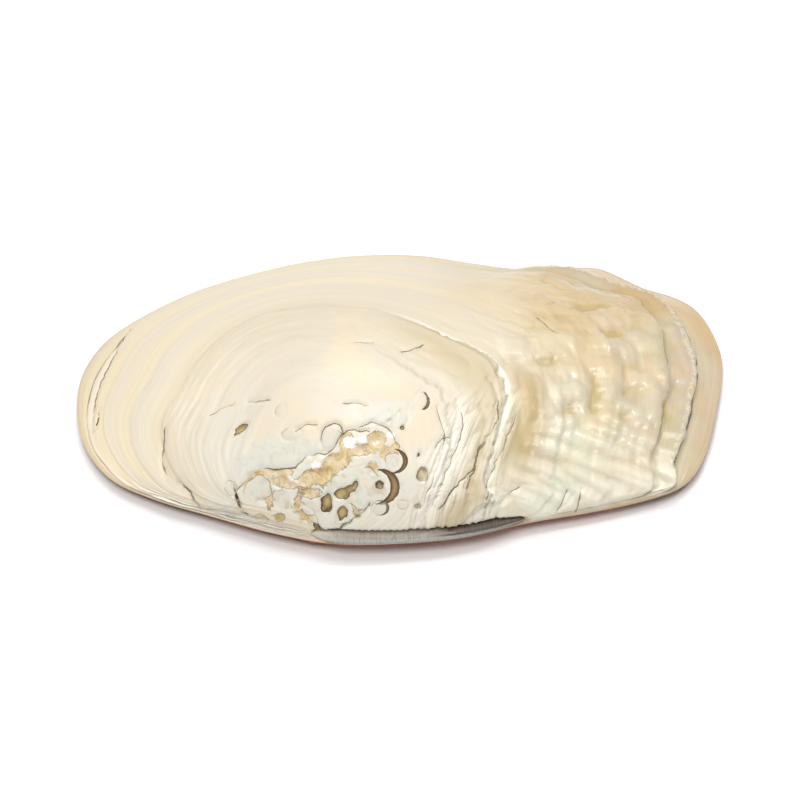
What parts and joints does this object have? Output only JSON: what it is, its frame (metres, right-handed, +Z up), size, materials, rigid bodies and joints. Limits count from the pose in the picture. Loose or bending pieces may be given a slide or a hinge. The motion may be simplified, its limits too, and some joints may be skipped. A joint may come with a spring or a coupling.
{
  "type": "freshwater mussel shell valve",
  "caption": "One large, thick mussel valve polished to its mother of pearl, oval and domed, with a pitted beak, folded hind slope and a strip of dried ligament on its hinge.",
  "frame": {"origin": "on the surface that the valve lies on, under the middle of the whole part", "axes": "+X points to the hind end, +Y to the belly edge, away from the hinge, and +Z up, out of the dome"},
  "size_m": [0.152, 0.0924, 0.0331],
  "materials": {
    "nacre": "ground and polished mother of pearl, satin to glossy, cream with lilac and tan growth bands",
    "ligament": "dry, grey, cross-fibred horn-like ligament, matte"
  },
  "bodies": {
    "root": {"valve": "nacre", "ligament": "ligament"}
  },
  "joints": []
}
